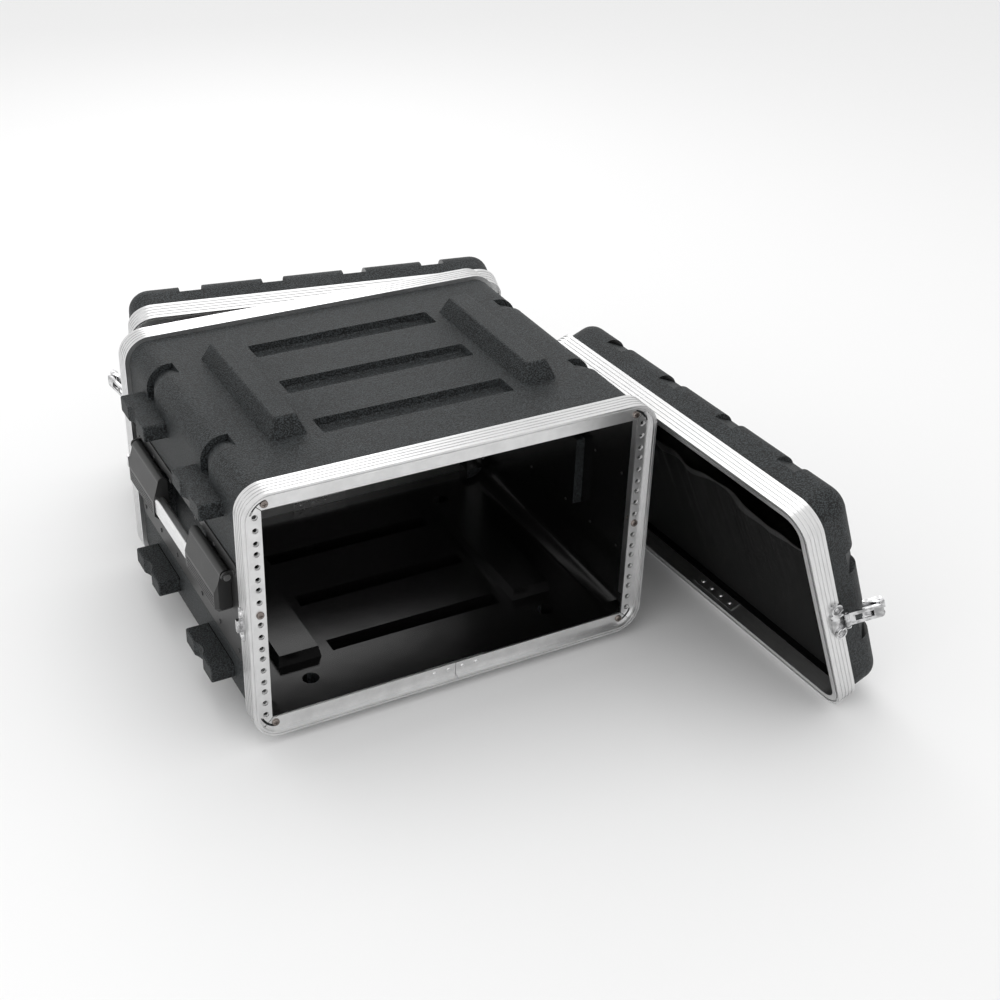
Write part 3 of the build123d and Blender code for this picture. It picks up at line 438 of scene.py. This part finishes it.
class RackCaseStage(bpy.types.PropertyGroup):
    camera_place: FloatVectorProperty(name="Camera", description="Camera position", subtype="TRANSLATION",
                                      unit="LENGTH", default=(-0.6731, -1.4816, 1.1444))
    lens: FloatProperty(name="Lens", description="Focal length on a 36 mm sensor",
                        default=56.386, unit="CAMERA")
    floor_grey: FloatProperty(name="Floor grey", description="Floor reflectance",
                              default=0.86, min=0.1, max=1.0)
    sky: FloatProperty(name="Surround", description="Brightness of the white surround", default=0.95, min=0.0)
    key_power: FloatProperty(name="Key light", description="Power of the large overhead light", default=12.0,
                             unit="POWER")
    fill_power: FloatProperty(name="Fill light", description="Power of the front fill",
                              default=7.0, unit="POWER")
    back_power: FloatProperty(name="Back light", description="Power of the light behind",
                              default=4.0, unit="POWER")


# ---------------------------------------------------------------- operators
def give(material, *nodes):
    """Put one material on CAD nodes."""
    for node in nodes:
        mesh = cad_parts[node].data
        mesh.materials.clear()
        mesh.materials.append(material)


def named(*words):
    """CAD nodes whose name holds every word."""
    return [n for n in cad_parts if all(w in n for w in words)]


class RACKCASE_OT_moulding(bpy.types.Operator):
    """Grained finish on the body and both lids"""
    bl_idname = "rackcase.moulding"
    bl_label = "Finish the moulding"

    def execute(self, context):
        look = context.scene.rackcase_look
        give(moulded(look, "moulding body"), "body_shell")
        for lid in LIDS:
            give(moulded(look, f"moulding {lid}", lid), f"{lid}_shell")
        return {"FINISHED"}


class RACKCASE_OT_rings(bpy.types.Operator):
    """Satin aluminium rings, splice plates and rivets"""
    bl_idname = "rackcase.rings"
    bl_label = "Finish the rings"

    def execute(self, context):
        look = context.scene.rackcase_look
        along = (0.06, 1.0, 0.06)
        give(satin_metal(look, "drawn aluminium", look.rim_grey, 0.30, along), "front_valance", "rear_valance")
        for lid in LIDS:
            give(satin_metal(look, f"drawn aluminium {lid}", look.rim_grey, 0.30, along, lid=lid),
                 f"{lid}_valance")
        plates = satin_metal(look, "plate aluminium", 0.80, 0.28, (0.1, 1.0, 1.0))
        give(plates, *named("splice_plate"))
        give(satin_metal(look, "rivet aluminium", 0.78, 0.30), *named("rivets"))
        return {"FINISHED"}


class RACKCASE_OT_rails(bpy.types.Operator):
    """Plated steel rack rails, screws and hinge pins"""
    bl_idname = "rackcase.rails"
    bl_label = "Finish the rails and screws"

    def execute(self, context):
        look = context.scene.rackcase_look
        give(satin_metal(look, "plated steel", 0.55, 0.34, (1.0, 1.0, 0.08)), *named("rack_rail"))
        give(satin_metal(look, "dark screw", 0.22, 0.30, tint=(1.12, 0.98, 0.90)), "valance_screws")
        give(satin_metal(look, "pin steel", 0.45, 0.30), "handle_pins")
        return {"FINISHED"}


class RACKCASE_OT_handles(bpy.types.Operator):
    """Black plates and grips, satin steel bars"""
    bl_idname = "rackcase.handles"
    bl_label = "Finish the handles"

    def execute(self, context):
        look = context.scene.rackcase_look
        give(powder_coat(look, "black plate"), *named("handle_plate"))
        give(powder_coat(look, "black rivet"), "handle_rivets")
        give(grip_plastic(look, "grip plastic"), *named("handle_grips"))
        give(satin_metal(look, "handle steel", 0.86, 0.32, (1.0, 0.05, 1.0)), *named("handle_bar"))
        return {"FINISHED"}


class RACKCASE_OT_latches(bpy.types.Operator):
    """Bright latches and keepers"""
    bl_idname = "rackcase.latches"
    bl_label = "Finish the latches"

    def execute(self, context):
        look = context.scene.rackcase_look
        give(bright_plate(look, "bright plate"), "catches", *named("lid", "latch"))
        return {"FINISHED"}


class RACKCASE_OT_pocket(bpy.types.Operator):
    """Net pocket and its elastic hem in the front lid"""
    bl_idname = "rackcase.pocket"
    bl_label = "Add the net pocket"

    def execute(self, context):
        s, look = context.scene.rackcase_pocket, context.scene.rackcase_look
        points, uv = net_pocket(s)
        net = sheet_surface("net_pocket_cloth", points, uv, net_cloth(s, "net cloth"), 0.0004)
        points, uv = hem_band(s)
        hem = sheet_surface("pocket_hem_band", points, uv, woven_band(s, "woven elastic"), 0.0012)
        for piece, node, word in ((net, "front_lid_net_pocket", "net"), (hem, "front_lid_pocket_hem", "hem")):
            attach(piece, "front_lid")
            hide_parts(node)
        give(net_cloth(s, "net cloth core"), "front_lid_net_pocket")
        give(woven_band(s, "woven elastic core"), "front_lid_pocket_hem")
        return {"FINISHED"}


class RACKCASE_OT_stage(bpy.types.Operator):
    """Pale floor, soft light and the camera"""
    bl_idname = "rackcase.stage"
    bl_label = "Set the stage"

    def execute(self, context):
        s, scene = context.scene.rackcase_stage, context.scene
        mesh = bpy.data.meshes.new("floor")
        mesh.from_pydata([(-9, -9, 0), (9, -9, 0), (9, 9, 0), (-9, 9, 0)], [], [(0, 1, 2, 3)])
        mesh.materials.append(floor_paper("studio paper", s.floor_grey))
        floor = bpy.data.objects.new("floor", mesh)
        scene.collection.objects.link(floor)
        world = bpy.data.worlds.new("white surround")
        world.use_nodes = True
        world.node_tree.nodes["Background"].inputs[0].default_value = (1.0, 1.0, 1.0, 1.0)
        world.node_tree.nodes["Background"].inputs[1].default_value = s.sky
        scene.world = world
        for name, place, aim, size, power in (
                ("overhead", (0.1, 0.5, 2.4), (0.05, 0.0, 0.2), 1.8, s.key_power),
                ("front fill", (-1.9, -1.3, 1.0), (0.0, 0.0, 0.2), 1.2, s.fill_power),
                ("back light", (0.5, 1.9, 1.3), (0.0, 0.0, 0.15), 0.8, s.back_power)):
            data = bpy.data.lights.new(name, "AREA")
            data.shape, data.size, data.energy = "SQUARE", size, power
            lamp = bpy.data.objects.new(name, data)
            lamp.location = place
            lamp.rotation_euler = (Vector(aim) - Vector(place)).to_track_quat("-Z", "Y").to_euler()
            scene.collection.objects.link(lamp)
        data = bpy.data.cameras.new("camera")
        data.sensor_width, data.lens = 36.0, s.lens
        data.clip_start, data.clip_end = 0.05, 60.0
        camera = bpy.data.objects.new("camera", data)
        right, up = Vector((0.8792, -0.4753, 0.0321)), Vector((0.2252, 0.4740, 0.8512))
        back = right.cross(up).normalized()
        up = back.cross(right).normalized()
        right = up.cross(back)
        turned = Matrix((right, up, back)).transposed().to_4x4()
        camera.matrix_world = Matrix.Translation(Vector(s.camera_place)) @ turned
        scene.collection.objects.link(camera)
        scene.camera = camera
        scene.view_settings.view_transform = "Standard"
        return {"FINISHED"}


class RACKCASE_PT_sidebar(bpy.types.Panel):
    """Buttons and settings for the rack case"""
    bl_label = "Rack Case"
    bl_idname = "RACKCASE_PT_sidebar"
    bl_space_type = "VIEW_3D"
    bl_region_type = "UI"
    bl_category = "Rack Case"

    def draw(self, context):
        for group, cls in GROUPS.items():
            held = getattr(context.scene, group)
            for key in cls.__annotations__:
                self.layout.prop(held, key)
        for operator in OPERATORS:
            self.layout.operator(operator.bl_idname)


GROUPS = {"rackcase_look": RackCaseLook, "rackcase_pocket": RackCasePocket, "rackcase_stage": RackCaseStage}
OPERATORS = (RACKCASE_OT_moulding, RACKCASE_OT_rings, RACKCASE_OT_rails, RACKCASE_OT_handles,
             RACKCASE_OT_latches, RACKCASE_OT_pocket, RACKCASE_OT_stage)
CLASSES = (*GROUPS.values(), *OPERATORS, RACKCASE_PT_sidebar)


def register():
    for cls in CLASSES:
        bpy.utils.register_class(cls)
    for name, cls in GROUPS.items():
        setattr(bpy.types.Scene, name, PointerProperty(type=cls))


def unregister():
    for name in GROUPS:
        delattr(bpy.types.Scene, name)
    for cls in reversed(CLASSES):
        bpy.utils.unregister_class(cls)


def main():
    register()
    for operator in OPERATORS:
        group, name = operator.bl_idname.split(".")
        getattr(getattr(bpy.ops, group), name)()


if __name__ == "__main__":
    main()
